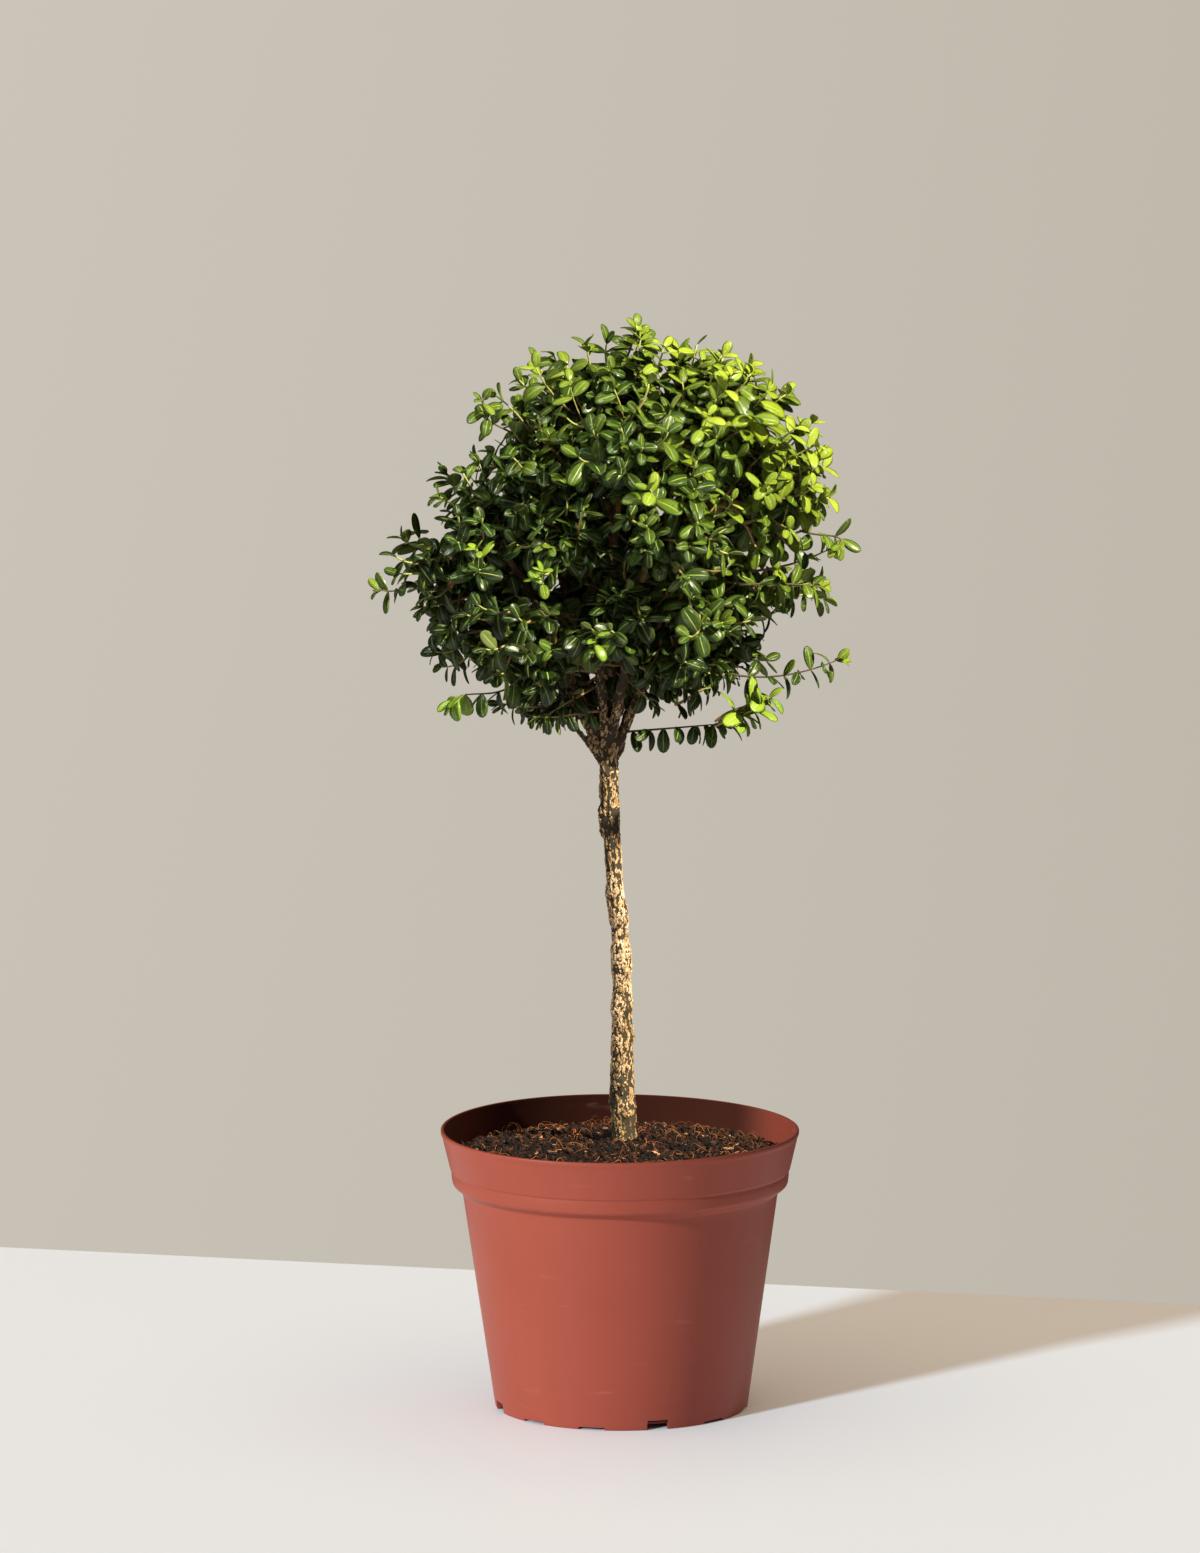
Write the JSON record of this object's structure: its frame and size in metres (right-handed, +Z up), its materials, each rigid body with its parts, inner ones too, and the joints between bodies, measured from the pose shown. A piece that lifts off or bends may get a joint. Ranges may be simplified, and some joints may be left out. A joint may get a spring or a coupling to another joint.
{
  "type": "potted boxwood topiary",
  "caption": "Boxwood clipped as a ball on a bare stem, with leafy clumps on branching limbs, growing in potting soil in a round plastic nursery pot.",
  "frame": {"origin": "on the pot's axis, at the middle of the surface that the pot stands on", "axes": "+Z up along the pot's axis and the stem, +X to the right and -Y towards the viewer who sees the crown's smaller mass on the left"},
  "size_m": [0.2841, 0.2238, 0.6574],
  "materials": {
    "pot": "terracotta-coloured moulded plastic, smooth with a faint sheen",
    "soil": "moist, crumbly peat mix with fibres and bits of bark",
    "bark": "flaking cream and tan bark over dark brown",
    "foliage": "small leathery leaves, glossy above and pale below"
  },
  "bodies": {
    "root": {"high_clump_1": "foliage", "high_clump_2": "foliage", "high_clump_3": "foliage", "high_clump_4": "foliage", "high_clump_5": "foliage", "high_clump_6": "foliage", "left_tip_shoot": "foliage", "long_low_right_shoot": "foliage", "low_clump_1": "foliage", "low_clump_2": "foliage", "low_clump_3": "foliage", "low_clump_4": "foliage", "low_clump_5": "foliage", "low_clump_6": "foliage", "low_clump_7": "foliage", "low_left_shoot": "foliage", "lowest_right_shoot": "foliage", "middle_clump_1": "foliage", "middle_clump_2": "foliage", "middle_clump_3": "foliage", "middle_clump_4": "foliage", "middle_clump_5": "foliage", "middle_clump_6": "foliage", "middle_clump_7": "foliage", "middle_right_shoot": "foliage", "nursery_pot": "pot", "potting_soil": "soil", "top_clump_1": "foliage", "top_shoot": "foliage", "trunk_and_limbs": "bark", "upper_left_shoot": "foliage", "upper_right_shoot": "foliage"}
  },
  "joints": []
}
